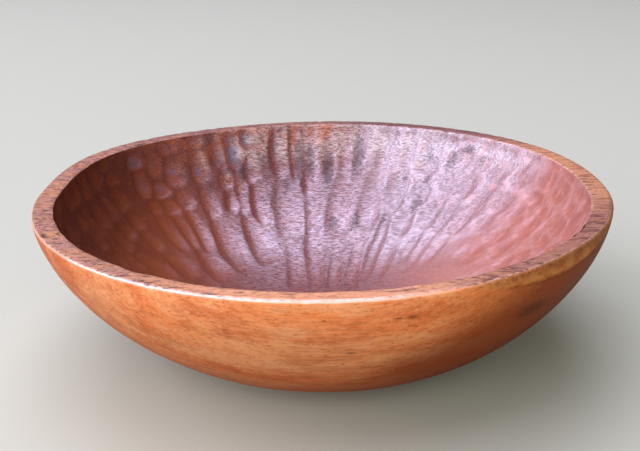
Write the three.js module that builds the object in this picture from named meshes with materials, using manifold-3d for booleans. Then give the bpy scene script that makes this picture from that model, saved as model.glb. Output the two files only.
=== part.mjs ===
// A salad bowl hewn by hand from one block of wood: a smooth oval outside on a flat foot, a level rim,
// and a hollow whose wall is covered with the cuts of a gouge. Millimetres, +Z up. The origin is the
// middle of the foot, +X runs along the grain, and the bowl is a little longer that way than across.
import * as THREE from "three";
import { mergeVertices } from "three/addons/utils/BufferGeometryUtils.js";
import Module from "manifold-3d";

// Outside
const LENGTH = 400; // along the grain
const WIDTH = 388; // across the grain
const HEIGHT = 117;
const FOOT_LENGTH = 124; // flat that the bowl stands on, along the grain
const FOOT_FLARE = 75; // how far the flank keeps to its first slope beyond the foot
const FOOT_ANGLE = 5; // degrees, that first slope above level
const RIM_DROP = 42; // how far the flank keeps to its last slope below the rim
const RIM_ANGLE = 6; // degrees, that last slope out from upright
const EDGE_RADIUS = 2; // round of the rim's outer edge

// How far the hand-shaped oval stands out beyond a true one, between its far side and its two ends
const LEFT_FULLNESS = 10;
const RIGHT_FULLNESS = 3;
const FULLNESS_SKEW = 1.5; // above 1, the fullest place is nearer to the end than to the far side

// Hollow, measured to the ridges between the cuts
const END_RIM = 15; // rim's breadth at the two ends, where the grain comes out
const SIDE_RIM = 12; // rim's breadth at the two sides
const FLOOR = 18; // thickness in the middle of the foot
const FLOOR_SPREAD = 105; // how far the hollow's floor keeps level from its middle
const HOLLOW_DROP = 60; // how far the hollow's wall keeps to its last slope below the rim
const HOLLOW_ANGLE = 12; // degrees, that last slope out from upright

// Cuts of the gouge
const CUTS_AROUND = 72; // side by side below the rim, and half as many wherever the girth has halved
const MOST_HALVINGS = 3; // so that nine cuts are left around the middle of the floor
const CUT_ROWS = 7; // from the middle of the floor to just under the rim
const CUT_DEPTH = 1.4;
const DEPTH_WANDER = 0.4; // how much deeper or shallower one cut is than the next
const RIDGE_WANDER = 0.3; // how far a ridge strays from its even place, in steps of the mesh
const DEPTH_SEED = 10000; // where the scatter of the depths starts
const RIDGE_SEED = 20000; // where the scatter of the ridges starts

// Fineness of the facets
const ROUND_STEPS = 96;
const FLANK_STEPS = 12;
const EDGE_STEPS = 3;
const STEPS_PER_CUT = 2; // across a cut below the rim, and along every cut
const OVERCUT = 10; // how far the solid that cuts the hollow stands above the rim
const MERGE_DISTANCE = 0.001; // points closer than this are one point

const wasm = await Module();
wasm.setup();

// A closed three.js geometry as a solid that can be cut.
function solidOf(geometry) {
  geometry.deleteAttribute("normal");
  geometry.deleteAttribute("uv");
  const merged = mergeVertices(geometry, MERGE_DISTANCE);
  return new wasm.Manifold(
    new wasm.Mesh({
      numProp: 3,
      vertProperties: merged.attributes.position.array,
      triVerts: new Uint32Array(merged.index.array),
    }),
  );
}

function geometryOf(solid) {
  const { vertProperties, triVerts } = solid.getMesh();
  const geometry = new THREE.BufferGeometry();
  geometry.setAttribute("position", new THREE.BufferAttribute(vertProperties, 3));
  geometry.setIndex(new THREE.BufferAttribute(triVerts, 1));
  geometry.computeVertexNormals();
  return geometry;
}

// A step in the plane of a profile, as radius and height, at an angle in degrees above level.
function slope(angle, reach) {
  const turn = THREE.MathUtils.degToRad(angle);
  return new THREE.Vector2(Math.cos(turn), Math.sin(turn)).multiplyScalar(reach);
}

// A scattered number from -1 to 1, the same one for a seed on every run.
function wander(seed) {
  return 2 * THREE.MathUtils.seededRandom(seed) - 1;
}

// A turned geometry made fuller between its far side and its ends, in proportion to the radius.
function fullerOval(turned) {
  const points = turned.attributes.position;
  for (let i = 0; i < points.count; i++) {
    const x = points.getX(i);
    const y = points.getY(i);
    const offFarSide = Math.min(1, Math.abs(Math.atan2(x, y)) / (Math.PI / 2)); // 1 at both ends and in front
    const swell = Math.sin(Math.PI * offFarSide ** FULLNESS_SKEW) ** 2;
    const stretch = 1 + (swell * (x < 0 ? LEFT_FULLNESS : RIGHT_FULLNESS)) / (LENGTH / 2);
    points.setXY(i, x * stretch, y * stretch);
  }
  return turned;
}

// The block with its outside shaped: foot, flank, round edge and level top.
function blankSolid() {
  const foot = new THREE.Vector2(FOOT_LENGTH / 2, 0);
  const top = new THREE.Vector2(LENGTH / 2, HEIGHT - EDGE_RADIUS);
  const flank = new THREE.CubicBezierCurve(
    foot,
    foot.clone().add(slope(FOOT_ANGLE, FOOT_FLARE)),
    top.clone().sub(slope(90 - RIM_ANGLE, RIM_DROP)),
    top,
  );
  const edge = new THREE.EllipseCurve(
    top.x - EDGE_RADIUS, top.y, EDGE_RADIUS, EDGE_RADIUS, 0, Math.PI / 2,
  );
  const profile = [
    new THREE.Vector2(0, 0),
    ...flank.getSpacedPoints(FLANK_STEPS),
    ...edge.getPoints(EDGE_STEPS).slice(1),
    new THREE.Vector2(0, HEIGHT),
  ];
  const turned = new THREE.LatheGeometry(profile, ROUND_STEPS).rotateX(Math.PI / 2);
  return solidOf(fullerOval(turned).scale(1, WIDTH / LENGTH, 1));
}

// The hollow's wall along its ridges, from the middle of the floor to the rim at one end.
const hollowLength = LENGTH - 2 * END_RIM;
const hollowWidth = WIDTH - 2 * SIDE_RIM;
const hollowTop = new THREE.Vector2(hollowLength / 2, HEIGHT);
const hollowWall = new THREE.CubicBezierCurve(
  new THREE.Vector2(0, FLOOR),
  new THREE.Vector2(FLOOR_SPREAD, FLOOR),
  hollowTop.clone().sub(slope(90 - HOLLOW_ANGLE, HOLLOW_DROP)),
  hollowTop,
);

const aroundSteps = CUTS_AROUND * STEPS_PER_CUT;
const rowSteps = CUT_ROWS * STEPS_PER_CUT + 1; // the rim lies half way along the last row's cuts

// How far the gouge has gone below the ridges at one step around and one step up the wall.
function cutDepth(around, up, radius) {
  const row = Math.floor(up / STEPS_PER_CUT);
  const halvings = Math.round(Math.log2(hollowTop.x / radius));
  const cutSteps = STEPS_PER_CUT * 2 ** Math.min(MOST_HALVINGS, Math.max(0, halvings));
  const staggered = around + (row % 2) * (cutSteps / 2);
  const across = Math.sin((staggered / cutSteps) * Math.PI) ** 2;
  const along = Math.sin((up / STEPS_PER_CUT) * Math.PI) ** 2;
  const number = Math.floor(staggered / cutSteps) + row * aroundSteps;
  return (CUT_DEPTH + DEPTH_WANDER * wander(DEPTH_SEED + number)) * across * along;
}

// The solid that empties the bowl: the wall's profile turned, its inner steps strayed and sunk into cuts.
function hollowSolid() {
  const above = slope(90 - HOLLOW_ANGLE, OVERCUT).add(hollowTop);
  const profile = [...hollowWall.getSpacedPoints(rowSteps), above, new THREE.Vector2(0, above.y)];
  const turned = new THREE.LatheGeometry(profile, aroundSteps);
  const points = turned.attributes.position;
  for (let step = 0; step <= aroundSteps; step++) {
    const around = step % aroundSteps;
    for (let up = 1; up <= rowSteps + 1; up++) {
      const strayed = around + RIDGE_WANDER * wander(RIDGE_SEED + around + up * aroundSteps);
      const bearing = (strayed / aroundSteps) * 2 * Math.PI;
      const share = Math.min(1, up / rowSteps);
      const place = up > rowSteps ? above : hollowWall.getPointAt(share);
      const along = hollowWall.getTangentAt(share);
      const depth = cutDepth(around, Math.min(up, rowSteps), place.x);
      const radius = place.x + along.y * depth;
      const height = place.y - along.x * depth;
      const x = radius * Math.sin(bearing);
      const z = radius * Math.cos(bearing);
      points.setXYZ(step * profile.length + up, x, height, z);
    }
  }
  turned.rotateX(Math.PI / 2);
  return solidOf(fullerOval(turned).scale(1, hollowWidth / hollowLength, 1));
}

const wood = new THREE.MeshStandardMaterial({ color: 0x9c5228, roughness: 0.45, metalness: 0 });
const carvedBowl = new THREE.Mesh(geometryOf(blankSolid().subtract(hollowSolid())), wood);
carvedBowl.name = "carved_bowl";

const saladBowl = new THREE.Group();
saladBowl.add(carvedBowl);

export default saladBowl;
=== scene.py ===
"""A salad bowl hewn by hand from one block of wood, lacquered, and worn along its rim.

Metres, +Z up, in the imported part's own frame: the origin is the middle of the foot, and +X runs along the
grain. A bearing is an angle around the bowl in degrees, from +X towards +Y, so the side nearest the viewer
is at -90. A spread beside a bearing is about how far a stretch reaches to each side of it. Colours are
written as they look on a screen, from 0 to 255.
"""

import math
from collections import namedtuple

import bmesh
import bpy
import numpy as np
from mathutils import Euler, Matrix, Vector, noise


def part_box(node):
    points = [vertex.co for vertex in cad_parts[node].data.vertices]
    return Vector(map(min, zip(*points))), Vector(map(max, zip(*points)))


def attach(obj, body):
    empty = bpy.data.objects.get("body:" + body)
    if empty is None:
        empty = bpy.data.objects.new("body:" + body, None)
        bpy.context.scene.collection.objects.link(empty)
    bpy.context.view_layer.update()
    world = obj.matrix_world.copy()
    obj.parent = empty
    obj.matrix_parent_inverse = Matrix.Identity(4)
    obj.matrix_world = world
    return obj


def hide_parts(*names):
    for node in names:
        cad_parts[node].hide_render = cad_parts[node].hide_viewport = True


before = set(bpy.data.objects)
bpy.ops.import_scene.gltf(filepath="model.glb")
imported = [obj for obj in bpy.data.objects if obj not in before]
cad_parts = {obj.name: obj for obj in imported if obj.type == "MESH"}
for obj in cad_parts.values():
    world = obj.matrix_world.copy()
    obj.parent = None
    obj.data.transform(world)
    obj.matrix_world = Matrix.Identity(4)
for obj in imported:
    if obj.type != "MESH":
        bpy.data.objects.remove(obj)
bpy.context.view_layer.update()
low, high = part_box("carved_bowl")

# The whole, from the frame
LENGTH = high.x - low.x
WIDTH = high.y - low.y
HEIGHT = high.z - low.z

# Outside
FOOT_LENGTH = 0.124
FOOT_FLARE = 0.075  # how far the flank keeps to its first slope beyond the foot
FOOT_ANGLE = 5  # degrees, that first slope above level
RIM_DROP = 0.042  # how far the flank keeps to its last slope below the rim
RIM_ANGLE = 6  # degrees, that last slope out from upright
EDGE_RADIUS = 0.002  # round of the rim's outer edge
FAR_BEARING = 90
LEFT_FULLNESS = 0.010  # how far the oval stands out beyond a true one, between its far side and left end
RIGHT_FULLNESS = 0.003  # the same towards its right end
FULLNESS_SKEW = 1.5  # above 1, the fullest place is nearer to the end than to the far side
FLANK_LEAN = 0.0016  # how much fuller the low flank is at the right end, and leaner at the left
LEAN_SKEW = 0.7  # below 1, the fullest place is nearer to the foot than to the rim
FLANK_RIPPLE = 0.0006  # how far the hand-shaped flank wavers
FLANK_HILLS = ((0.050, 0.40, 2), (0.018, 0.15, 3))  # size, share of the ripple and seed of the waver
FLANK_SUNK = 0.5  # share of the ripple by which the flank is sunk on the whole
FLAT_FOOT = 0.2  # share of the flank, from the foot up, over which the waver comes in

# A slanting flat below the rim's outer edge, near the right end
WANE_BEARING, WANE_SPREAD = -44, 22
WANE_DROP = 0.0112
WANE_DEPTH = 0.0030
WANE_ENDS = (0.15, 0.6)  # shares of its full drop between which its colour comes in
WANE_FOOT = 0.15  # share of its height over which its colour comes in
WANE_LINE_ENDS = (0.3, 0.7)  # shares of its full drop between which the line of painted shade along its lower edge comes in
WANE_LINE = 0.09  # half breadth of that line, as a share of the flat's height
TINY = 1e-6  # keeps a division from failing where the flat has no height

# Hollow, to the ridges between the cuts
END_RIM = 0.015  # breadth of the rim at the two ends
SIDE_RIM = 0.012  # breadth of the rim at the two sides
FLOOR = 0.018  # thickness in the middle of the foot
FLOOR_SPREAD = 0.105  # how far the hollow's floor keeps level from its middle
HOLLOW_DROP = 0.060  # how far the hollow's wall keeps to its last slope below the rim
HOLLOW_ANGLE = 12  # degrees, that last slope out from upright
LIP_RADIUS = 0.0008  # round of the rim's inner edge

# Lanes that the cuts of the gouge follow
SPINE = 0.085  # half of the line along the grain where the cuts from both sides meet
SPINE_FADE = 0.7  # how near to the spine the cuts flatten out
SPINE_CUT = 0.6  # share of the usual depth that is left there
LANES = 64  # side by side below the rim, and every second one ends where there is too little room
LANE_ENDS = (0.0, 0.130, 0.066, 0.130)  # room across a radian of lanes at which each lane of four ends
LANE_JITTER = 0.36  # how far a lane strays from its even place, in lanes
LANE_STEPS = 720  # steps around in which the lanes are counted
CROWD_BEARING = 40  # where the lanes are closest together
CROWDING = 0.32  # how much closer, as a share of their even spacing
LANE_SWIRL = 120  # degrees per metre that the lanes at the right end turn towards the far wall
SWIRL_BEARING, SWIRL_SPREAD = 30, 35

# Cuts of the gouge: those in the middle of the far wall are long flutes, and those at both ends are shorter
CUT_DEPTH = 0.0020
CUT_LENGTH = 0.032
FLUTE_LENGTH = 0.075
FLUTES_BEARING, FLUTES_SPREAD = 88, 18
LEFT_CUT_DEPTH = 0.0016
LEFT_DEPTH_BEARING, LEFT_DEPTH_SPREAD = 155, 40
LEFT_CUT_LENGTH = 0.022
LEFT_LENGTH_BEARING, LEFT_LENGTH_SPREAD = 152, 30
RIGHT_CUT_DEPTH = 0.0027
RIGHT_CUT_LENGTH = 0.021
RIGHT_BEARING, RIGHT_SPREAD = 15, 42
LOW_DROP = (0.045, 0.085)  # between these drops below the rim the cuts grow to twice their length
FIRST_CUT_RISE = 0.012  # a lane's first cut starts up to this far above the rim
LENGTH_RANGE = (0.6, 1.5)  # shortest and longest cut, as shares of the usual length
DEPTH_RANGE = (0.6, 1.2)  # shallowest and deepest cut, as shares of the usual depth
SWEEP_RANGE = (0.85, 1.15)  # narrowest and broadest cut, as shares of the usual sweep
CUT_SWEEP = 1.35  # above 1, neighbouring cuts meet in a sharp ridge
CUT_ENTRY, CUT_EXIT = 1.35, 0.65  # the gouge goes in gently and comes out steeply, in half lengths
CUT_OVERLAP = 0.12  # share of a cut's length that the next one in its lane overlaps
CUT_STRAY = 0.25  # degrees by which a cut usually misses the middle of its lane
CUT_WANDER = 0.0022  # how far the lanes wander to either side
WANDER_HILLS = ((0.030, 1.0, 1),)  # size, share of the wander and seed
CUT_REACH = 0.03  # no cut is broader than this on either side of its middle
CUT_RUN = 1.6  # no cut goes on past this, in half lengths
LEANS = ((30, 42, 0.65), (125, 40, -0.55))  # bearing, spread and share by which the gouge leant to one side
RIDGE_ROUND = 0.00008  # how much the ridge between two cuts is rounded
LIP_CUT = 0.5  # share of the depth that a cut has at the rim's edge
SMOOTH_LIP_CUT = 0.2  # the same at the right end and on the near side
NEAR_LIP_BEARING, NEAR_LIP_SPREAD = -90, 60
LIP_FADE = 0.010  # how far below the rim a cut comes to its full depth
CUT_SEED = 11

# Grey stains and orange scuffs on the far wall, as lane, drop below the rim, half length, half breadth and
# strength
STAINS = (
    (119, 0.005, 0.006, 0.005, 0.7),
    (127, 0.012, 0.010, 0.004, 0.6),
    (128, 0.034, 0.006, 0.004, 0.5),
    (122, 0.047, 0.008, 0.003, 0.5),
    (112, 0.039, 0.010, 0.005, 0.8),
    (107, 0.067, 0.003, 0.006, 0.7),
    (100, 0.056, 0.008, 0.003, 0.7),
    (96, 0.033, 0.020, 0.0035, 1.0),
    (93, 0.034, 0.020, 0.0050, 0.8),
    (88, 0.042, 0.018, 0.0055, 0.85),
    (86, 0.098, 0.010, 0.006, 0.7),
    (80, 0.029, 0.020, 0.0065, 0.9),
    (78, 0.094, 0.012, 0.005, 0.8),
    (68, 0.089, 0.010, 0.006, 0.7),
    (65, 0.046, 0.003, 0.003, 0.8),
    (60, 0.022, 0.008, 0.005, 0.6),
    (58, 0.044, 0.007, 0.004, 0.7),
    (58, 0.068, 0.010, 0.006, 0.8),
    (53, 0.025, 0.012, 0.0050, 0.7),
    (51, 0.065, 0.008, 0.005, 0.5),
    (49, 0.012, 0.004, 0.006, 0.8),
    (44, 0.021, 0.006, 0.004, 0.5),
)
SCUFFS = (
    (97, 0.011, 0.015, 0.0025, 1.0),
    (93, 0.008, 0.009, 0.0020, 0.8),
    (89, 0.006, 0.008, 0.0070, 0.9),
)
SPOT_FADE = (1.9, 0.2)  # from nothing to full strength, in half lengths and half breadths from the middle

# Wear of the rim: pits all round, a crack by the right end as bearing and radius, and chips as bearing,
# radius, half length, half breadth and depth
RIM_PITS = 0.0004  # depth of the pits
PIT_HILLS = ((0.0060, 0.6, 4), (0.0025, 0.5, 5))  # size, height and seed of the noise that scatters the pits
PIT_SLOPE = (0.05, 0.6)  # from the level rim to the bottom of a pit, in that noise
CRACK = ((-35.2, 0.1862), (-27.3, 0.1862), (-24.4, 0.1930), (-22.4, 0.1972))
CRACK_WIDTHS = (0.001265, 0.000165)  # half its width, at its first and last point
CRACK_DEPTHS = (0.0033, 0.0003)  # at those two points
CRACK_SIDES = 0.8  # share of half its width over which its sides slope
CRACK_FLANK = 0.006  # how far down from the rim it is cut
CHIPS = (
    (-107.6, 0.1962, 0.0045, 0.0016, 0.0009),
    (-103.2, 0.1900, 0.0018, 0.0012, 0.0007),
    (-95.5, 0.1885, 0.0030, 0.0011, 0.0006),
    (-77.0, 0.1890, 0.0085, 0.0014, 0.0012),
    (-62.0, 0.1970, 0.0050, 0.0012, 0.0007),
    (-152.0, 0.1965, 0.0040, 0.0015, 0.0008),
    (140.0, 0.1880, 0.0060, 0.0014, 0.0009),
    (35.0, 0.1968, 0.0040, 0.0014, 0.0008),
)
CHIP_REACH = 1.6  # where a chip's side comes up to the rim, in half lengths and half breadths
CHIP_RAGGED = 0.6  # how far the pits push that edge in and out
POLISHED_LIP = (5, 46)  # bearing and spread of the brightest stretch of the inner edge
LEAST_POLISH = 0.3  # how polished the inner edge is elsewhere, and how strong its painted highlight is
POLISH_SPREAD = 0.0022  # how far the polishing of many hands, and the painted highlight along it, reaches from the middle of an edge
RIM_EDGE = 0.0012  # the rim's finish starts this far before the end of the outer edge's round

# Dark marks on the flank as a place and a size
MARKS = (
    ((0.0480, -0.188, 0.1030), (0.0060, 0.03, 0.0020)),
    ((0.0400, -0.190, 0.1030), (0.0040, 0.03, 0.0012)),
    ((0.0150, -0.183, 0.0790), (0.0060, 0.03, 0.0012)),
    ((0.0005, -0.192, 0.1044), (0.0022, 0.03, 0.0012)),
    ((0.1220, -0.142, 0.0860), (0.0220, 0.04, 0.0100)),
)
MARK_FADE = (1.6, 0.8)  # from nothing to full strength, in sizes from the middle

# Lacquer outside
ORANGE, PALE_ORANGE = (252, 148, 76), (255, 174, 106)
# painted shade: the outside's left end darkened against the strong light from the left
LEFT_END_SHADE_BROWN = (200, 106, 54)
RIGHT_TAN = (212, 132, 64)
BLOTCH_BROWN = (196, 92, 40)
CLOUD_BROWN, CLOUD_GOLD = (196, 96, 44), (255, 186, 118)
GRAIN_BROWN, GRAIN_GOLD = (162, 74, 30), (255, 188, 122)
MOTTLE_BROWN, MOTTLE_CREAM = (146, 68, 26), (255, 202, 146)
# painted shade: darker low on the flank, darker still low at the right, and darkest at the right end
LOW_SHADE_RED = (178, 66, 14)
LOW_RIGHT_SHADE_BROWN = (132, 50, 10)
RIGHT_END_SHADE_BROWN = (76, 24, 6)
MARK_BROWN = (70, 30, 16)
# painted light on the slanted flat, which faces up, and a line of painted shade along its lower edge
WANE_LIGHT_GOLD, WANE_EDGE_BROWN, WANE_SHADE_LINE_BROWN = (212, 148, 76), (112, 62, 30), (90, 44, 20)
CHIPPED_LACQUER = (92, 52, 34)
# painted highlight, lighter along the polished edges
EDGE_HIGHLIGHT_CREAM = (252, 212, 176)

# Worn rim
RIM_PINK, RIM_TAN = (178, 132, 106), (196, 142, 98)
RIM_GOLD = (224, 162, 112)
RIM_BROWN = (152, 104, 80)
RIM_ORANGE = (204, 146, 98)
# painted shade: the rim darker along its far side
FAR_RIM_SHADE_BROWN = (122, 86, 78)
SPECKLE_BROWN, SPECKLE_CREAM = (92, 50, 40), (220, 166, 128)
FINE_SPECKLE_BROWN = (104, 58, 46)
CHIPPED_RIM = (50, 26, 22)

# Lacquer in the hollow
RED_BROWN, TAN_BROWN = (142, 72, 46), (162, 88, 56)
SHADED_BROWN = (142, 71, 24)
# painted shade: the far left of the hollow darker
LEFT_WALL_SHADE_BROWN = (100, 46, 22)
MIDDLE_BROWN = (126, 70, 62)
SCRAPED_PINK = (178, 116, 92)
# painted shade: dark along the ridges between the cuts, most near the rim
RIDGE_SHADE_BROWN = (80, 36, 24)
# painted sheen: pale grey on the far wall right of the middle, paler just below the rim there, broken up by
# grey flecks
SHEEN_GREY, LIP_SHEEN_WHITE = (176, 170, 170), (236, 230, 228)
FLECK_GREY = (104, 78, 84)
# the pink and the white are painted highlights along the ridges
PINK_RIDGE_HIGHLIGHT, WHITE_RIDGE_HIGHLIGHT, ORANGE_RIDGE = (240, 212, 206), (250, 236, 236), (196, 108, 58)
STROKE_BROWN, STROKE_PINK = (156, 94, 82), (214, 164, 154)
# painted reflection: blue-grey sky sheen in the cuts near the far rim
SKY_SHEEN_BLUE = (126, 112, 122)
# darker in the deep of the cuts: the pink is painted shade, and the grey in the sheen zone is partly worn
# lacquer and partly painted shade
GREY_CUT, PINK_CUT_SHADE = (108, 80, 82), (170, 96, 80)
BLOTCH_ORANGE = (206, 128, 88)
STREAK_BROWN = (96, 46, 36)
STREAK_GOLD = (190, 112, 52)
SCUFF_ORANGE = (206, 116, 66)
PORE_BROWN = (78, 38, 36)
STAIN_GREY = (86, 70, 70)
CHIPPED_HOLLOW = (46, 24, 18)

# Fineness of the mesh
ROUND_STEPS = 320
FLANK_STEP, EDGE_STEP, WALL_STEP, FLOOR_STEP = 0.005, 0.0013, 0.0019, 0.0024
FINE_DROP = 0.110  # the wall is finer from the rim down to here
FINE_FLANK = 0.020  # and so is the flank, this far down from the rim's edge
FINE_CUTS = 1  # how often each ring's step is cut there
CRACK_MARGIN = 0.004  # the mesh is finest this near to the crack
CRACK_CUTS = 3
CURVE_POINTS = 600  # at which the length along a curve is measured
BASE_POINTS, EDGE_POINTS, LIP_POINTS = 5, 6, 4
MERGE_DISTANCE = 1e-6
HILL_SHIFT = (7.3, 3.1, 5.7)  # from one seed's hills to the next one's

# Studio
TABLE_SIZE = 40
TABLE_COLOUR = (190, 198, 168)
TABLE_BOUNCE = (64, 58, 52)  # for the light that it throws back on the bowl, darker than it looks
LAMPS = (
    # name, bearing, elevation, distance, breadth and height, power, colour
    ("left_sky", -160, 28, 6, (9.0, 5.5), 512, (0.77, 0.70, 1.0)),
    ("high_sky", -165, 76, 6, (6.0, 6.5), 350, (0.75, 0.69, 1.0)),
    ("far_sky", 105, 64, 6, (5.0, 4.0), 156, (0.76, 0.70, 1.0)),
    ("front_sky", -90, 23, 6, (6.5, 4.8), 292, (0.96, 0.87, 0.94)),
)
ROOM_COLOUR = (0.92, 0.95, 1.0, 1.0)
ROOM_STRENGTH = 0.02

# View
IMAGE_WIDTH = 640
FOCAL_PIXELS = 946
SENSOR_WIDTH = 36
CAMERA_PLACE = (0.0020, -0.641, 0.3228)
CAMERA_PITCH = 20.16
CAMERA_ROLL = 0.91


def slope(angle, reach):
    """A step in the plane of the outline, as radius and height, at an angle in degrees above level."""
    turn = math.radians(angle)
    return reach * np.array((math.cos(turn), math.sin(turn)))


def curve(start, first, second, end, fine_end, step, fine_step):
    """Points along a cubic curve, closer together over the last stretch."""
    t = np.linspace(0, 1, CURVE_POINTS)[:, None]
    s = 1 - t
    points = s ** 3 * start + 3 * t * s ** 2 * first + 3 * t ** 2 * s * second + t ** 3 * end
    run = np.append(0, np.cumsum(np.hypot(*np.diff(points, axis=0).T)))
    turn = run[-1] - fine_end
    marks = np.concatenate((
        np.linspace(0, turn, round(turn / step), endpoint=False),
        np.linspace(turn, run[-1], round(fine_end / fine_step)),
    ))
    return np.column_stack([np.interp(marks, run, points[:, axis]) for axis in range(2)])


def arc(centre, radius, start, end, points):
    return np.array([centre + slope(angle, radius) for angle in np.linspace(start, end, points)])


class Outline:
    """Half of the bowl's section, from the middle of the foot over the rim to the middle of the floor."""

    def __init__(self):
        half = LENGTH / 2
        foot = np.array((FOOT_LENGTH / 2, 0))
        top = np.array((half, HEIGHT - EDGE_RADIUS))
        flank = curve(
            foot, foot + slope(FOOT_ANGLE, FOOT_FLARE), top - slope(90 - RIM_ANGLE, RIM_DROP), top,
            FINE_FLANK, FLANK_STEP, EDGE_STEP,
        )
        edge = arc(top - (EDGE_RADIUS, 0), EDGE_RADIUS, 0, 90, EDGE_POINTS)
        mouth = np.array((half - END_RIM, HEIGHT))
        hollow = curve(
            np.array((0, FLOOR)), np.array((FLOOR_SPREAD, FLOOR)),
            mouth - slope(90 - HOLLOW_ANGLE, HOLLOW_DROP), mouth,
            FINE_DROP, FLOOR_STEP, WALL_STEP,
        )[::-1]
        wall = hollow[hollow[:, 1] < HEIGHT - LIP_RADIUS]
        lip = arc(mouth + (LIP_RADIUS, -LIP_RADIUS), LIP_RADIUS, 90, 180 - HOLLOW_ANGLE, LIP_POINTS)
        rim = np.linspace(edge[-1], lip[0], round((edge[-1, 0] - lip[0, 0]) / EDGE_STEP))
        base = np.linspace((0, 0), foot, BASE_POINTS)
        parts = [base, flank[1:], edge[1:], rim[1:], lip[1:], wall]
        self.points = np.concatenate(parts)
        self.run = np.append(0, np.cumsum(np.hypot(*np.diff(self.points, axis=0).T)))
        ends = self.run[np.cumsum([len(part) for part in parts]) - 1]
        self.foot_end, self.flank_end, self.edge_end, self.rim_end, self.lip_end, self.end = ends
        tangent = np.gradient(self.points, self.run, axis=0)
        self.outward = np.column_stack((tangent[:, 1], -tangent[:, 0]))

    def at(self, along):
        """Radius, height and outward direction at distances along the outline."""
        columns = np.column_stack((self.points, self.outward)).T
        return [np.interp(along, self.run, column) for column in columns]

    def squeeze(self, along):
        """How far the bowl is drawn in across the grain: more outside than in the hollow, so that the rim is
        narrower at its sides."""
        outside = WIDTH / LENGTH
        inside = (WIDTH - 2 * SIDE_RIM) / (LENGTH - 2 * END_RIM)
        return np.interp(along, (self.edge_end, self.rim_end), (outside, inside))


def off_bearing(bearing, middle):
    return (bearing - middle + 180) % 360 - 180


def hump(bearing, middle, spread):
    """1 at one bearing, falling smoothly to 0 on both sides of it."""
    return np.exp(-(off_bearing(bearing, middle) / spread) ** 2)


def smooth(value, start, end):
    """0 before start, 1 past end, smooth in between. End may be the lower one."""
    share = np.clip((value - start) / (end - start), 0, 1)
    return share * share * (3 - 2 * share)


def hills(points, kinds):
    """Smooth noise at points: the sum of several kinds of hills, each with a size, a height and a seed."""
    total = np.zeros(len(points))
    for size, height, seed in kinds:
        shift = Vector([seed * step for step in HILL_SHIFT])
        total += [height * noise.noise(Vector(point) / size + shift) for point in points]
    return total


def crack_distance(points):
    """How far each turned point lies from the crack, seen from above, and its share of the way along it."""
    path = np.array([slope(bearing, radius) for bearing, radius in CRACK])
    nearest = np.full(len(points), np.inf)
    share = np.zeros(len(points))
    for number, (start, end) in enumerate(zip(path, path[1:])):
        step = end - start
        place = np.clip((points[:, :2] - start) @ step / (step @ step), 0, 1)
        distance = np.hypot(*(points[:, :2] - start - place[:, None] * step).T)
        closer = distance < nearest
        nearest[closer] = distance[closer]
        share[closer] = (number + place[closer]) / (len(path) - 1)
    return nearest, share


def bowl_mesh(outline):
    """The outline turned about the upright axis, finer along the rim and the upper wall, and finest at the
    crack."""
    bm = bmesh.new()
    layer = bm.verts.layers.float.new("along")
    rows = [bm.verts.new((radius, 0, height)) for radius, height in outline.points]
    for row, run in zip(rows, outline.run):
        row[layer] = run
    edges = [bm.edges.new(pair) for pair in zip(rows, rows[1:])]
    bmesh.ops.spin(
        bm, geom=rows + edges, axis=(0, 0, 1), cent=(0, 0, 0), angle=2 * math.pi, steps=ROUND_STEPS,
        use_merge=True,
    )
    bmesh.ops.remove_doubles(bm, verts=bm.verts, dist=MERGE_DISTANCE)

    fine_start = outline.flank_end - FINE_FLANK
    fine_end = outline.rim_end + FINE_DROP
    rings = []
    for edge in bm.edges:
        start, end = (vert[layer] for vert in edge.verts)
        if abs(start - end) < MERGE_DISTANCE and fine_start < start < fine_end:
            rings.append(edge)
    bmesh.ops.subdivide_edges(bm, edges=rings, cuts=FINE_CUTS, use_grid_fill=True)

    distance, _ = crack_distance(np.array([vert.co for vert in bm.verts]))
    near = {
        vert for vert, gap in zip(bm.verts, distance)
        if gap < CRACK_MARGIN and vert.co.z > HEIGHT - CRACK_MARGIN
    }
    close = [edge for edge in bm.edges if near.issuperset(edge.verts)]
    bmesh.ops.subdivide_edges(bm, edges=close, cuts=CRACK_CUTS, use_grid_fill=True)
    bmesh.ops.recalc_face_normals(bm, faces=bm.faces)
    mesh = bpy.data.meshes.new("bowl")
    bm.to_mesh(mesh)
    bm.free()
    return mesh


class Skin:
    """Every point of the bowl's surface, by its distance along the outline and its bearing."""

    def __init__(self, mesh, outline):
        self.outline = outline
        self.count = len(mesh.vertices)
        places = np.empty(self.count * 3)
        mesh.vertices.foreach_get("co", places)
        self.turned = places.reshape(-1, 3)
        self.along = np.empty(self.count)
        mesh.attributes["along"].data.foreach_get("value", self.along)
        self.bearing = np.degrees(np.arctan2(self.turned[:, 1], self.turned[:, 0]))
        self.radius, self.height, self.out_level, self.out_up = outline.at(self.along)
        self.marks = {}

    def only(self, where, values):
        """Values at some of the points, and 0 at the others."""
        found = np.zeros(self.count)
        found[where] = values
        return found

    def hills(self, where, kinds):
        return self.only(where, hills(self.turned[where], kinds))

    def sink(self, depth):
        """Moves every point into the wood by its depth."""
        self.radius -= self.out_level * depth
        self.height -= self.out_up * depth

    def places(self):
        turn = np.radians(self.bearing)
        off_far_side = np.minimum(1, np.abs(off_bearing(self.bearing, FAR_BEARING)) / 90)
        swell = np.sin(np.pi * off_far_side ** FULLNESS_SKEW) ** 2
        fullness = np.where(np.abs(self.bearing) > 90, LEFT_FULLNESS, RIGHT_FULLNESS)
        radius = self.radius * (1 + swell * fullness / (LENGTH / 2))
        across = radius * np.sin(turn) * self.outline.squeeze(self.along)
        return np.column_stack((radius * np.cos(turn), across, self.height))


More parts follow.
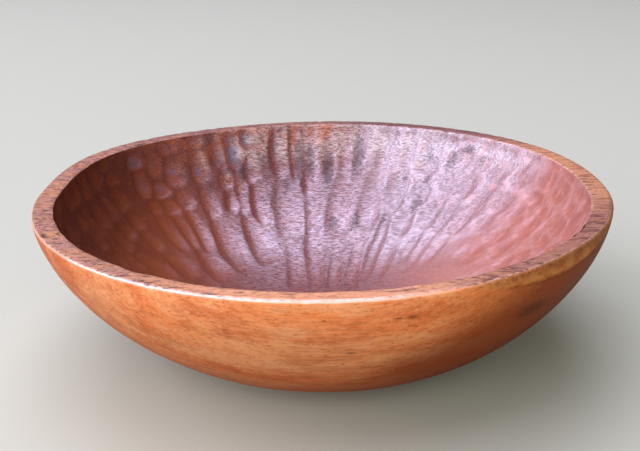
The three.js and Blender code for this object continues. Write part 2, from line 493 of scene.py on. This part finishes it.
def lanes(outline, along, places):
    """The lane of cuts that each place lies in, in degrees, the room across a radian of lanes there, and how
    far it is from the spine. Seen from above, the lanes are hyperbolas that run from the rim straight onto
    the spine."""
    turn = np.arccosh((places[:, 0] + 1j * places[:, 1]) / SPINE)
    lane = np.degrees(turn.imag)
    drop = np.maximum(0, along - outline.rim_end)
    swirl = LANE_SWIRL * hump(lane, SWIRL_BEARING, SWIRL_SPREAD) * drop
    return lane - swirl, SPINE * np.abs(np.sinh(turn)), turn.real


def lane_spacing(lane):
    """How far apart the lanes are at a lane, as a share of their even spacing."""
    return 1 - CROWDING * np.cos(np.radians(lane - CROWD_BEARING))


def usual_depth(lane):
    """How deep the gouge went in a lane."""
    left = hump(lane, LEFT_DEPTH_BEARING, LEFT_DEPTH_SPREAD) * (LEFT_CUT_DEPTH - CUT_DEPTH)
    right = hump(lane, RIGHT_BEARING, RIGHT_SPREAD) * (RIGHT_CUT_DEPTH - CUT_DEPTH)
    return CUT_DEPTH + left + right


def usual_length(lane):
    """How long the cuts are just below the rim in a lane."""
    flute = hump(lane, FLUTES_BEARING, FLUTES_SPREAD) * (FLUTE_LENGTH - CUT_LENGTH)
    right = hump(lane, RIGHT_BEARING, RIGHT_SPREAD) * (RIGHT_CUT_LENGTH - CUT_LENGTH)
    left = hump(lane, LEFT_LENGTH_BEARING, LEFT_LENGTH_SPREAD) * (LEFT_CUT_LENGTH - CUT_LENGTH)
    return CUT_LENGTH + flute + right + left


Cut = namedtuple("Cut", "lane drop length depth sweep")


def plan_cuts(outline):
    """Every cut. Each lane's cuts follow one another from the rim down, and fewer and fewer lanes go on to
    the floor."""
    chance = np.random.default_rng(CUT_SEED)
    cuts = []
    around = np.linspace(0, 360, LANE_STEPS + 1)
    count = np.append(0, np.cumsum(1 / lane_spacing(around[1:])))
    for number in range(LANES):
        share = (number + LANE_JITTER * chance.uniform(-1, 1)) / LANES
        lane = np.interp(share % 1 * count[-1], count, around)
        turn = math.radians(lane)
        drop = -FIRST_CUT_RISE * chance.uniform(0, 1)
        while True:
            length = usual_length(lane) * chance.uniform(*LENGTH_RANGE) * (1 + smooth(drop, *LOW_DROP))
            middle = drop + length / 2
            radius = outline.at(outline.rim_end + max(0, middle))[0]
            off_spine = math.sqrt(max(0, radius ** 2 - SPINE ** 2 * math.cos(2 * turn)))
            room = lane_spacing(lane) * off_spine
            too_narrow = room < LANE_ENDS[number % len(LANE_ENDS)]
            beyond_spine = radius < SPINE * abs(math.cos(turn))
            beyond_floor = outline.rim_end + middle > outline.end
            if too_narrow or beyond_spine or beyond_floor:
                break
            pitch = 2 * math.pi * room / (LANES * np.mean([room > end for end in LANE_ENDS]))
            depth = usual_depth(lane) * chance.uniform(*DEPTH_RANGE)
            sweep = CUT_SWEEP * pitch ** 2 / (8 * depth) * chance.uniform(*SWEEP_RANGE)
            cuts.append(Cut(lane + chance.normal(0, CUT_STRAY), middle, length, depth, sweep))
            drop += (1 - CUT_OVERLAP) * length
    return cuts


def gouged(cuts, lane, room, drop, stray):
    """How far the cuts go below the ridges between them, at each place of the hollow."""
    total = np.ones_like(lane)
    for cut in cuts:
        across = np.radians(off_bearing(lane, cut.lane)) * room + stray
        along = (drop - cut.drop) / (cut.length / 2)
        near = np.nonzero((np.abs(across) < CUT_REACH) & (np.abs(along) < CUT_RUN))[0]
        run = along[near] / np.where(along[near] < 0, CUT_ENTRY, CUT_EXIT)
        lean = sum(share * hump(cut.lane, bearing, spread) for bearing, spread, share in LEANS)
        sweep = cut.sweep * (1 + lean * np.sign(across[near]))
        level = cut.depth * (1 - run ** 2) - across[near] ** 2 / (2 * sweep)
        total[near] += np.exp(level / RIDGE_ROUND)
    return RIDGE_ROUND * np.log(total)


def spotted(spots, lane, room, drop):
    """How strongly the stains or scuffs show, at each place of the hollow."""
    found = np.zeros_like(lane)
    for spot_lane, spot_drop, half_length, half_breadth, strength in spots:
        across = np.radians(off_bearing(lane, spot_lane)) * room / half_breadth
        along = (drop - spot_drop) / half_length
        found = np.maximum(found, strength * smooth(np.hypot(across, along), *SPOT_FADE))
    return found


def cut_hollow(skin):
    """Sinks the cuts into the wall, and scallops the rim's inner edge where they start."""
    outline = skin.outline
    inside = np.nonzero(skin.along > outline.edge_end)[0]
    lane, room, off_spine = lanes(outline, skin.along[inside], skin.turned[inside])
    drop = np.maximum(0, skin.along[inside] - outline.rim_end)
    stray = CUT_WANDER * hills(skin.turned[inside], WANDER_HILLS)
    smooth_lip = np.maximum(
        hump(lane, RIGHT_BEARING, RIGHT_SPREAD), hump(lane, NEAR_LIP_BEARING, NEAR_LIP_SPREAD),
    )
    lip_cut = LIP_CUT + smooth_lip * (SMOOTH_LIP_CUT - LIP_CUT)
    depth = gouged(plan_cuts(outline), lane, room, drop, stray)
    depth *= lip_cut + (1 - lip_cut) * smooth(drop, 0, LIP_FADE)
    depth += (SPINE_CUT * CUT_DEPTH - depth) * smooth(off_spine, SPINE_FADE, 0)
    on_wall = drop > 0
    skin.sink(skin.only(inside, depth * on_wall))
    across_rim = (skin.along[inside] - outline.edge_end) / (outline.rim_end - outline.edge_end)
    skin.radius[inside] += np.where(on_wall, 0, depth * across_rim)
    skin.marks["drop"] = skin.only(inside, drop)
    skin.marks["lane"] = skin.only(inside, np.radians(lane))
    skin.marks["hollowness"] = skin.only(inside, depth * on_wall / usual_depth(lane))
    skin.marks["stain"] = skin.only(inside, spotted(STAINS, lane, room, drop) * on_wall)
    skin.marks["scuff"] = skin.only(inside, spotted(SCUFFS, lane, room, drop) * on_wall)


def shape_flank(skin):
    """The flank as a hand left it: fuller low at the right end, a little wavy, and slanted below the rim."""
    outline = skin.outline
    flank = skin.along < outline.edge_end
    share = np.clip((skin.along - outline.foot_end) / (outline.flank_end - outline.foot_end), 0, 1)
    low_flank = np.sin(np.pi * share ** LEAN_SKEW) ** 2 * flank
    skin.sink(-FLANK_LEAN * np.cos(np.radians(skin.bearing)) * low_flank)
    waver = FLANK_SUNK + skin.hills(flank, FLANK_HILLS)
    skin.sink(FLANK_RIPPLE * waver * smooth(share, 0, FLAT_FOOT) * flank)
    reach = hump(skin.bearing, WANE_BEARING, WANE_SPREAD)
    rise = (skin.height - HEIGHT + WANE_DROP * reach) / (WANE_DROP * reach + TINY)
    across_rim = np.clip((outline.rim_end - skin.along) / (outline.rim_end - outline.edge_end), 0, 1)
    skin.radius -= WANE_DEPTH * reach * np.clip(rise, 0, 1) * across_rim
    skin.marks["wane"] = smooth(reach, *WANE_ENDS) * smooth(rise, 0, WANE_FOOT) * flank
    skin.marks["wane_shade_line"] = smooth(reach, *WANE_LINE_ENDS) * np.exp(-(rise / WANE_LINE) ** 2) * flank


def wear_rim(skin):
    """Pits, chips and the crack, all sunk below the level of the rim."""
    outline = skin.outline
    on_rim = (skin.along > outline.flank_end) & (skin.along < outline.lip_end)
    pits = skin.hills(on_rim, PIT_HILLS)
    skin.height -= RIM_PITS * smooth(pits, *PIT_SLOPE) * on_rim
    damage = np.zeros(skin.count)
    for bearing, radius, half_length, half_breadth, depth in CHIPS:
        along = np.radians(off_bearing(skin.bearing, bearing)) * radius / half_length
        across = (np.hypot(*skin.turned[:, :2].T) - radius) / half_breadth
        bite = smooth(CHIP_REACH - np.hypot(along, across) + CHIP_RAGGED * pits, 0, 1) * on_rim
        skin.height -= depth * bite
        damage = np.maximum(damage, bite)
    distance, share = crack_distance(skin.turned)
    half_width = np.interp(share, (0, 1), CRACK_WIDTHS)
    gap = smooth(1 - distance / half_width, 0, CRACK_SIDES) * (skin.height > HEIGHT - CRACK_FLANK)
    skin.height -= np.interp(share, (0, 1), CRACK_DEPTHS) * gap
    skin.marks["damage"] = np.maximum(damage, gap)
    # where the edges are polished, and where a painted highlight runs along them
    off_edge = np.abs(skin.along - (outline.flank_end + outline.edge_end) / 2)
    off_lip = np.abs(skin.along - (outline.rim_end + outline.lip_end) / 2)
    lip_polish_and_highlight = LEAST_POLISH + (1 - LEAST_POLISH) * hump(skin.bearing, *POLISHED_LIP)
    skin.marks["polish_and_highlight"] = np.maximum(
        smooth(off_edge, POLISH_SPREAD, 0), lip_polish_and_highlight * smooth(off_lip, POLISH_SPREAD, 0),
    )


def give_finishes(mesh, skin):
    """The outside's, the rim's and the hollow's finish, each on its own faces."""
    for finish in (outside_finish(), rim_finish(), hollow_finish()):
        mesh.materials.append(finish)
    corners = np.empty(len(mesh.loops), np.int32)
    mesh.loops.foreach_get("vertex_index", corners)
    starts = np.empty(len(mesh.polygons), np.int32)
    mesh.polygons.foreach_get("loop_start", starts)
    middle = np.add.reduceat(skin.along[corners], starts) / np.diff(np.append(starts, len(corners)))
    past_edge = middle > skin.outline.edge_end - RIM_EDGE
    past_rim = middle > skin.outline.lip_end
    mesh.polygons.foreach_set("material_index", past_edge.astype(np.int32) + past_rim)


def carved_bowl():
    outline = Outline()
    mesh = bowl_mesh(outline)
    skin = Skin(mesh, outline)
    cut_hollow(skin)
    shape_flank(skin)
    wear_rim(skin)
    mesh.vertices.foreach_set("co", skin.places().ravel())
    for name, values in skin.marks.items():
        mesh.attributes.new(name, "FLOAT", "POINT").data.foreach_set("value", values)
    mesh.update()
    give_finishes(mesh, skin)
    mesh.shade_smooth()
    bowl = bpy.data.objects.new("carved_bowl_wood", mesh)
    bpy.context.scene.collection.objects.link(bowl)
    return bowl


class Strand:
    """One output among a material's nodes. Arithmetic on it adds Math nodes."""

    def __init__(self, tree, socket):
        self.tree = tree
        self.socket = socket

    def add(self, kind, settings, inputs, output):
        """Any other node: its settings come first, then the values and links of its sockets."""
        node = self.tree.nodes.new(kind)
        for name, value in settings.items():
            setattr(node, name, value)
        for name, value in inputs.items():
            socket = next(socket for socket in node.inputs if socket.identifier == name)
            if isinstance(value, Strand):
                self.tree.links.new(value.socket, socket)
            else:
                socket.default_value = value
        return Strand(self.tree, next(socket for socket in node.outputs if socket.identifier == output))

    def math(self, operation, first, second):
        inputs = {"Value": first, "Value_001": second}
        return self.add("ShaderNodeMath", {"operation": operation}, inputs, "Value")

    def __add__(self, other):
        return self.math("ADD", self, other)

    def __radd__(self, other):
        return self.math("ADD", other, self)

    def __sub__(self, other):
        return self.math("SUBTRACT", self, other)

    def __rsub__(self, other):
        return self.math("SUBTRACT", other, self)

    def __mul__(self, other):
        return self.math("MULTIPLY", self, other)

    def __rmul__(self, other):
        return self.math("MULTIPLY", other, self)

    def between(self, start, end):
        """0 before start, 1 past end, smooth in between. End may be the lower one."""
        inputs = {"Value": self, "From Min": start, "From Max": end}
        return self.add("ShaderNodeMapRange", {"interpolation_type": "SMOOTHSTEP"}, inputs, "Result")

    def mix(self, first, second):
        """A colour from first to second, by this value."""
        inputs = {"Factor_Float": self, "A_Color": first, "B_Color": second}
        return self.add("ShaderNodeMix", {"data_type": "RGBA"}, inputs, "Result_Color")

    def axis(self, name):
        return self.add("ShaderNodeSeparateXYZ", {}, {"Vector": self}, name)

    def scaled(self, size, centre=(0, 0, 0)):
        """This place counted in steps of a size along each axis, from a centre."""
        inputs = {
            "Vector": self, "Scale": tuple(1 / side for side in size),
            "Location": tuple(-middle / side for middle, side in zip(centre, size)),
        }
        return self.add("ShaderNodeMapping", {}, inputs, "Vector")

    def noise(self, size, detail=2.0, roughness=0.5):
        """Noise at this place, with patches of one size along each axis."""
        inputs = {"Vector": self.scaled(size), "Scale": 1.0, "Detail": detail, "Roughness": roughness}
        return self.add("ShaderNodeTexNoise", {}, inputs, "Fac")

    def spot(self, centre, size, ragged):
        """1 in the middle of a ragged spot, falling to 0 at its edge."""
        inputs = {"Vector": self.scaled(size, centre)}
        away = self.add("ShaderNodeVectorMath", {"operation": "LENGTH"}, inputs, "Value")
        return (away + ragged).between(*MARK_FADE)

    def attribute(self, name):
        return self.add("ShaderNodeAttribute", {"attribute_name": name}, {}, "Fac")


def tone(red, green, blue):
    """A colour on a screen as a linear one."""
    shares = (value / 255 for value in (red, green, blue))
    return (*(s / 12.92 if s <= 0.04045 else ((s + 0.055) / 1.055) ** 2.4 for s in shares), 1.0)


def coats(colour, layers):
    """A colour with others laid over it, each one where its mask is above 0 and as strongly as that is."""
    for mask, paint in layers:
        colour = mask.mix(colour, tone(*paint))
    return colour


def new_finish(name):
    """A material, its shader, and the place on the piece to start a pattern from."""
    material = bpy.data.materials.new(name)
    material.use_nodes = True
    tree = material.node_tree
    shader = tree.nodes["Principled BSDF"]
    coordinates = tree.nodes.new("ShaderNodeTexCoord")
    return material, shader, Strand(tree, coordinates.outputs["Object"])


def set_shader(shader, **sockets):
    """Values and links of the shader's sockets, with underscores for spaces."""
    for name, value in sockets.items():
        socket = shader.inputs[name.replace("_", " ")]
        if isinstance(value, Strand):
            value.tree.links.new(value.socket, socket)
        else:
            socket.default_value = value


def bump(height, distance, strength):
    inputs = {"Height": height, "Distance": distance, "Strength": strength}
    return height.add("ShaderNodeBump", {}, inputs, "Normal")


def outside_finish():
    """Orange-brown lacquer, with fine streaks along the grain and a few dark marks."""
    material, shader, place = new_finish("lacquered_outside")
    along, away, up = (place.axis(name) for name in "XYZ")
    bands = place.noise((0.30, 0.022, 0.022), 3.0)
    blotches = place.noise((0.05, 0.022, 0.022), 4.0, 0.6)
    clouds = place.noise((0.032, 0.010, 0.010), 5.0, 0.65)
    grain = place.noise((0.030, 0.0013, 0.0013), 4.0, 0.65)
    mottle = place.noise((0.0040, 0.0020, 0.0020), 4.0, 0.7)

    # painted shade at the left end
    left_end_shade = along.between(-0.10, -0.19)
    right = along.between(0.04, 0.13)
    near = away.between(0.02, -0.06)
    # painted shade: low on the flank, low at the right, and at the right end
    low = up.between(0.080, 0.015)
    sunlit = (1.0 - right) * (0.4 + 0.6 * up.between(0.015, 0.060))
    low_right_shade = (along - 1.8 * up + 0.03 * clouds).between(-0.105, -0.035) * along.between(-0.03, 0.07) * near
    right_end = (along - 1.2 * up).between(0.01, 0.10) * near
    wane = place.attribute("wane")
    wane_edge = wane * up.between(0.109, 0.116)
    # painted shade along the lower edge of the slanted flat
    wane_shade_line = place.attribute("wane_shade_line") * mottle.between(0.65, 0.45)
    damage = place.attribute("damage")
    polish_and_highlight = place.attribute("polish_and_highlight") * (1.0 - 0.6 * along.between(0.03, 0.10))
    marks = [place.spot(centre, size, mottle * 1.4) for centre, size in MARKS]

    colour = coats(bands.between(0.35, 0.65).mix(tone(*ORANGE), tone(*PALE_ORANGE)), (
        (left_end_shade * 0.9, LEFT_END_SHADE_BROWN),
        (blotches.between(0.45, 0.65) * 0.4, BLOTCH_BROWN),
        (clouds.between(0.50, 0.64) * 0.4, CLOUD_BROWN),
        (clouds.between(0.50, 0.34) * sunlit * 0.6, CLOUD_GOLD),
        (right * 0.6, RIGHT_TAN),
        (grain.between(0.50, 0.64) * 0.28, GRAIN_BROWN),
        (grain.between(0.48, 0.36) * sunlit * 0.22, GRAIN_GOLD),
        (mottle.between(0.44, 0.30) * sunlit * 0.5, MOTTLE_CREAM),
        (mottle.between(0.55, 0.68) * 0.45, MOTTLE_BROWN),
        # painted shade on the low flank and towards the right end
        (low * 0.65, LOW_SHADE_RED),
        (low_right_shade * 0.80, LOW_RIGHT_SHADE_BROWN),
        (right_end * 0.76, RIGHT_END_SHADE_BROWN),
        *((mark * 0.65, MARK_BROWN) for mark in marks),
        # painted light on the slanted flat
        (wane * (0.30 + 0.5 * clouds.between(0.62, 0.40)), WANE_LIGHT_GOLD),
        (wane_edge * (0.35 + 0.4 * mottle.between(0.42, 0.58)), WANE_EDGE_BROWN),
        (wane_shade_line * 0.7, WANE_SHADE_LINE_BROWN),
        (damage * 0.6, CHIPPED_LACQUER),
        # painted highlight along the polished edge
        (polish_and_highlight * polish_and_highlight * 0.7, EDGE_HIGHLIGHT_CREAM),
    ))
    set_shader(
        shader, Base_Color=colour, Roughness=0.46 + 0.16 * blotches - 0.28 * polish_and_highlight, Specular_IOR_Level=0.06,
        Coat_Weight=0.02 + 0.98 * polish_and_highlight * mottle.between(0.7, 0.45), Coat_IOR=2.4, Coat_Roughness=0.14,
        Normal=bump(grain * 0.5 + mottle * 0.5, 0.0003, 0.6),
    )
    return material


def rim_finish():
    """The level rim: lacquer worn thin, pinkish brown and speckled, with orange left at the right end."""
    material, shader, place = new_finish("worn_rim")
    along, away = (place.axis(name) for name in "XY")
    patches = place.noise((0.030, 0.016, 0.016), 3.0)
    short_specks = place.noise((0.0050, 0.0020, 0.0020), 3.0, 0.65)
    long_specks = place.noise((0.0180, 0.0020, 0.0020), 4.0, 0.6)
    fine = place.noise((0.0020, 0.0010, 0.0010), 2.0)

    right_end = along.between(0.10, 0.17)
    speckles = short_specks * (1.0 - right_end) + long_specks * right_end
    golden = away.between(-0.12, -0.18) * along.between(0.10, 0.04) * along.between(-0.10, -0.05)
    near_right = along.between(0.06, 0.12) * away.between(0.02, -0.06)
    far_right = right_end * away.between(-0.08, 0.0)
    # painted shade along the far side of the rim
    far_side_shade = away.between(0.08, 0.15) * (0.5 + 0.4 * along.between(-0.04, 0.05))
    damage = place.attribute("damage")
    polish_and_highlight = place.attribute("polish_and_highlight") * speckles.between(0.7, 0.45)

    colour = coats(patches.between(0.42, 0.62).mix(tone(*RIM_PINK), tone(*RIM_TAN)), (
        (golden * 0.85, RIM_GOLD),
        (near_right * 0.7, RIM_BROWN),
        (far_right * 0.9, RIM_ORANGE),
        (far_side_shade, FAR_RIM_SHADE_BROWN),
        (speckles.between(0.50, 0.60) * (0.75 - 0.4 * golden), SPECKLE_BROWN),
        (speckles.between(0.44, 0.30) * 0.5, SPECKLE_CREAM),
        (fine.between(0.52, 0.66) * (0.5 - 0.25 * golden), FINE_SPECKLE_BROWN),
        (damage * 0.85, CHIPPED_RIM),
        # painted highlight along the polished edges
        (polish_and_highlight * polish_and_highlight * 0.7 * (1.0 - damage), EDGE_HIGHLIGHT_CREAM),
    ))
    set_shader(
        shader, Base_Color=colour, Roughness=0.46 + 0.2 * speckles - 0.28 * polish_and_highlight, Specular_IOR_Level=0.35,
        Coat_Weight=0.05 + 0.95 * polish_and_highlight, Coat_IOR=2.4, Coat_Roughness=0.14,
        Normal=bump(fine * 0.4 - speckles, 0.0005, 0.8),
    )
    return material


def hollow_finish():
    """Red-brown lacquer over the cuts: painted shade along the ridges and at the left end, scraped at the
    right with a painted pale sheen and painted highlights on its ridges, and grey where it stained."""
    material, shader, place = new_finish("lacquered_hollow")
    along, away = (place.axis(name) for name in "XY")
    depth = place.attribute("hollowness")
    drop = place.attribute("drop")
    damage = place.attribute("damage")
    in_lanes = place.add("ShaderNodeCombineXYZ", {}, {"X": place.attribute("lane"), "Y": drop}, "Vector")

    bands = place.noise((0.20, 0.018, 0.018), 3.0)
    blotches = place.noise((0.018, 0.012, 0.012), 4.0, 0.6)
    streaks = place.noise((0.030, 0.0012, 0.0012), 4.0, 0.65)
    long_streaks = place.noise((0.12, 0.0022, 0.0022), 3.0)
    chatter = place.noise((0.005, 0.0025, 0.0025), 3.0, 0.6)
    grit = place.noise((0.0035, 0.0014, 0.0014), 2.0, 0.6)
    flecks = place.noise((0.0065, 0.0012, 0.0012), 4.0, 0.7).between(0.42, 0.58)
    strokes = in_lanes.noise((0.040, 0.014, 1.0), 3.0, 0.6)
    vessels = place.noise((0.0050, 0.0008, 0.0008), 4.0, 0.75).between(0.51, 0.60)

    # painted shade at the left end of the hollow
    left_end_shade = along.between(-0.12, -0.17)
    middle = along.between(-0.11, -0.04) * along.between(0.09, 0.03)
    right = along.between(0.0, 0.08)
    front = away.between(0.10, 0.03)
    shaded = along.between(-0.03, -0.14) * away.between(0.15, 0.09)
    scraped = (along - 0.8 * away).between(-0.03, 0.11)
    # where the sheen is painted on the far wall
    sheen_zone = along.between(0.02, 0.07) * away.between(0.05, 0.10)
    near_rim = drop.between(0.070, 0.020)
    far_lip = drop.between(0.040, 0.008) * along.between(-0.17, -0.11) * along.between(0.06, 0.0)
    lip_sheen = drop.between(0.045, 0.008) * sheen_zone
    under_rim = drop.between(0.035, 0.006) * along.between(0.04, -0.03)
    # painted reflection of the sky in the cuts near the far rim
    sky_sheen_patches = along.between(-0.02, -0.06) * away.between(0.09, 0.13) * near_rim
    ridges = depth.between(0.50, 0.22)
    stroked = (0.45 * scraped + 0.3 * sheen_zone) * drop.between(0.135, 0.085)
    pores = vessels * (1.0 - 0.6 * right) * (1.0 - 0.7 * scraped) * (1.0 - 0.6 * shaded)
    grey_cuts = depth.between(0.4, 0.9) * sheen_zone * blotches.between(0.42, 0.6) * grit.between(0.30, 0.60)
    ragged = 1.1 * grit + 0.9 * chatter
    stained = (place.attribute("stain") + ragged).between(1.3, 1.8)
    scuffed = (place.attribute("scuff") + ragged).between(1.2, 2.0)

    colour = coats(bands.between(0.35, 0.65).mix(tone(*RED_BROWN), tone(*TAN_BROWN)), (
        (shaded * 0.85, SHADED_BROWN),
        (left_end_shade * 0.7, LEFT_WALL_SHADE_BROWN),
        (middle * 0.6, MIDDLE_BROWN),
        (scraped * 0.8, SCRAPED_PINK),
        # painted shade along the ridges
        (ridges * (1.0 - scraped) * (1.0 - sheen_zone) * (0.24 + 0.32 * near_rim), RIDGE_SHADE_BROWN),
        # painted sheen, pale below the rim, and grey flecks that break it up
        (sheen_zone * 0.6, SHEEN_GREY),
        (lip_sheen * blotches.between(0.35, 0.55) * 0.6, LIP_SHEEN_WHITE),
        ((1.0 - flecks) * sheen_zone * 0.6, FLECK_GREY),
        # painted highlights along the ridges
        (ridges * scraped * 0.1, PINK_RIDGE_HIGHLIGHT),
        (depth.between(0.34, 0.14) * sheen_zone * blotches.between(0.60, 0.40) * 0.28, WHITE_RIDGE_HIGHLIGHT),
        (strokes.between(0.50, 0.64) * stroked, STROKE_BROWN),
        (strokes.between(0.48, 0.34) * stroked, STROKE_PINK),
        (depth.between(0.5, 0.85) * sky_sheen_patches * blotches.between(0.36, 0.56) * 0.85, SKY_SHEEN_BLUE),
        # darker deep in the cuts: partly worn lacquer, partly painted shade
        (grey_cuts * 0.14, GREY_CUT),
        (depth.between(0.5, 0.9) * scraped * 0.15, PINK_CUT_SHADE),
        (blotches.between(0.54, 0.68) * scraped * (1.0 - sheen_zone) * 0.35, BLOTCH_ORANGE),
        (ridges * far_lip * blotches.between(0.35, 0.6) * 0.6, ORANGE_RIDGE),
        (streaks.between(0.5, 0.8) * 0.4, STREAK_BROWN),
        (long_streaks.between(0.60, 0.70) * shaded * 0.35, STREAK_GOLD),
        (scuffed * 0.5, SCUFF_ORANGE),
        (pores * 0.6, PORE_BROWN),
        (stained * 0.7, STAIN_GREY),
        (damage * 0.85, CHIPPED_HOLLOW),
    ))
    gloss = 0.38 + 0.62 * flecks
    for mask, loss in (
        (pores, 0.8), (stained, 0.6), (scuffed, 0.6), (shaded, 0.9), (scraped, 0.65), (front, 0.4),
        (sheen_zone, 0.32), (under_rim, 0.35),
    ):
        gloss = gloss * (1.0 - loss * mask)
    relief = streaks * 0.4 + chatter * 0.6 - pores - strokes * stroked * 2.2
    set_shader(
        shader, Base_Color=colour, Roughness=0.42 + 0.2 * pores, Specular_IOR_Level=0.25,
        Coat_Weight=gloss, Coat_IOR=3.0, Coat_Roughness=0.34, Normal=bump(relief, 0.0005, 0.7),
    )
    return material


def table_top():
    """A plain pale table under the bowl."""
    bm = bmesh.new()
    bmesh.ops.create_grid(bm, x_segments=1, y_segments=1, size=TABLE_SIZE / 2)
    mesh = bpy.data.meshes.new("table")
    bm.to_mesh(mesh)
    bm.free()
    table = bpy.data.objects.new("table", mesh)
    bpy.context.scene.collection.objects.link(table)
    material, shader, place = new_finish("pale_table")
    rays = ("Is Camera Ray", "Is Glossy Ray", "Is Transmission Ray")
    seen, mirrored, through = (place.add("ShaderNodeLightPath", {}, {}, ray) for ray in rays)
    in_view = place.math("MAXIMUM", seen, place.math("MAXIMUM", mirrored, through))
    set_shader(shader, Base_Color=in_view.mix(tone(*TABLE_BOUNCE), tone(*TABLE_COLOUR)), Roughness=0.8)
    mesh.materials.append(material)


def lamp(name, bearing, elevation, distance, size, power, colour):
    """A soft lamp that faces the bowl."""
    light = bpy.data.lights.new(name, "AREA")
    light.shape = "RECTANGLE"
    light.size, light.size_y = size
    light.energy = power
    light.color = colour
    holder = bpy.data.objects.new(name, light)
    turn, rise = math.radians(bearing), math.radians(elevation)
    towards = Vector((math.cos(turn) * math.cos(rise), math.sin(turn) * math.cos(rise), math.sin(rise)))
    holder.location = distance * towards
    holder.rotation_euler = (-towards).to_track_quat("-Z", "Y").to_euler()
    bpy.context.scene.collection.objects.link(holder)


def studio():
    """Soft light from the left, from above and from behind the viewer, in a dim even room."""
    for settings in LAMPS:
        lamp(*settings)
    world = bpy.data.worlds.new("room")
    world.use_nodes = True
    background = world.node_tree.nodes["Background"]
    background.inputs["Color"].default_value = ROOM_COLOUR
    background.inputs["Strength"].default_value = ROOM_STRENGTH
    bpy.context.scene.world = world


def camera():
    """A little above the rim, looking down into the hollow."""
    view = bpy.data.cameras.new("view")
    view.sensor_width = SENSOR_WIDTH
    view.lens = FOCAL_PIXELS / IMAGE_WIDTH * SENSOR_WIDTH
    holder = bpy.data.objects.new("view", view)
    holder.location = CAMERA_PLACE
    holder.rotation_euler = Euler((math.radians(90 - CAMERA_PITCH), math.radians(CAMERA_ROLL), 0))
    bpy.context.scene.collection.objects.link(holder)
    bpy.context.scene.camera = holder


bowl = carved_bowl()
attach(bowl, "root")
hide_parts("carved_bowl")
table_top()
studio()
camera()
bpy.context.scene.view_settings.view_transform = "Standard"
